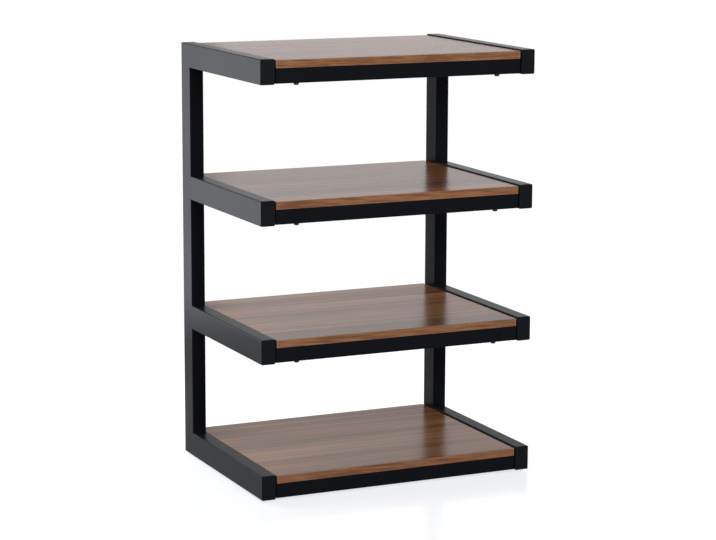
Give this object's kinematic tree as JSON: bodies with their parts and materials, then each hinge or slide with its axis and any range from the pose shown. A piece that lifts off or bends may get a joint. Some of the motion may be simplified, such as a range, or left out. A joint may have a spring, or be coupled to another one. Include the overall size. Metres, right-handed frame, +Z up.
{
  "type": "audio equipment rack",
  "caption": "Open hi-fi rack with walnut boards on black steel cross rails, carried by rectangular arms reaching forward from two rear posts.",
  "frame": {"origin": "on the floor under the middle of the rack's footprint", "axes": "+X to the right seen from the front, +Y to the rear where the posts stand, +Z up"},
  "size_m": [0.6, 0.43, 0.879],
  "materials": {
    "powder_coat": "satin black powder coat on steel tube",
    "walnut_board": "satin walnut decor with lengthwise grain",
    "cap_plastic": "matt black moulded plastic",
    "screw_steel": "black oxide steel",
    "foot_plastic": "matt black moulded plastic",
    "zinc_steel": "bright zinc plated steel"
  },
  "bodies": {
    "rack": {"left_post": "powder_coat", "left_arm_1": "powder_coat", "left_arm_2": "powder_coat", "left_arm_3": "powder_coat", "left_arm_4": "powder_coat", "left_arm_cap_1": "cap_plastic", "left_arm_cap_2": "cap_plastic", "left_arm_cap_3": "cap_plastic", "left_arm_cap_4": "cap_plastic", "right_post": "powder_coat", "right_arm_1": "powder_coat", "right_arm_2": "powder_coat", "right_arm_3": "powder_coat", "right_arm_4": "powder_coat", "right_arm_cap_1": "cap_plastic", "right_arm_cap_2": "cap_plastic", "right_arm_cap_3": "cap_plastic", "right_arm_cap_4": "cap_plastic", "front_rail_1": "powder_coat", "rear_rail_1": "powder_coat", "shelf_board_1": "walnut_board", "shelf_screw_1_front_left": "screw_steel", "shelf_screw_1_front_right": "screw_steel", "shelf_screw_1_rear_left": "screw_steel", "shelf_screw_1_rear_right": "screw_steel", "front_rail_2": "powder_coat", "rear_rail_2": "powder_coat", "shelf_board_2": "walnut_board", "shelf_screw_2_front_left": "screw_steel", "shelf_screw_2_front_right": "screw_steel", "shelf_screw_2_rear_left": "screw_steel", "shelf_screw_2_rear_right": "screw_steel", "front_rail_3": "powder_coat", "rear_rail_3": "powder_coat", "shelf_board_3": "walnut_board", "shelf_screw_3_front_left": "screw_steel", "shelf_screw_3_front_right": "screw_steel", "shelf_screw_3_rear_left": "screw_steel", "shelf_screw_3_rear_right": "screw_steel", "front_rail_4": "powder_coat", "rear_rail_4": "powder_coat", "shelf_board_4": "walnut_board", "shelf_screw_4_front_left": "screw_steel", "shelf_screw_4_front_right": "screw_steel", "shelf_screw_4_rear_left": "screw_steel", "shelf_screw_4_rear_right": "screw_steel", "foot_nut_front_left": "zinc_steel", "foot_nut_front_right": "zinc_steel", "foot_nut_rear_left": "zinc_steel", "foot_nut_rear_right": "zinc_steel"},
    "foot_front_left": {"foot_base_front_left": "foot_plastic", "foot_stem_front_left": "zinc_steel"},
    "foot_front_right": {"foot_base_front_right": "foot_plastic", "foot_stem_front_right": "zinc_steel"},
    "foot_rear_left": {"foot_base_rear_left": "foot_plastic", "foot_stem_rear_left": "zinc_steel"},
    "foot_rear_right": {"foot_base_rear_right": "foot_plastic", "foot_stem_rear_right": "zinc_steel"}
  },
  "joints": [
    {"name": "foot_front_left_height", "type": "slide", "parent": "rack", "child": "foot_front_left", "axis": [0, 0, -1], "range_m": [0, 0.012]},
    {"name": "foot_front_right_height", "type": "slide", "parent": "rack", "child": "foot_front_right", "axis": [0, 0, -1], "range_m": [0, 0.012]},
    {"name": "foot_rear_left_height", "type": "slide", "parent": "rack", "child": "foot_rear_left", "axis": [0, 0, -1], "range_m": [0, 0.012]},
    {"name": "foot_rear_right_height", "type": "slide", "parent": "rack", "child": "foot_rear_right", "axis": [0, 0, -1], "range_m": [0, 0.012]}
  ]
}
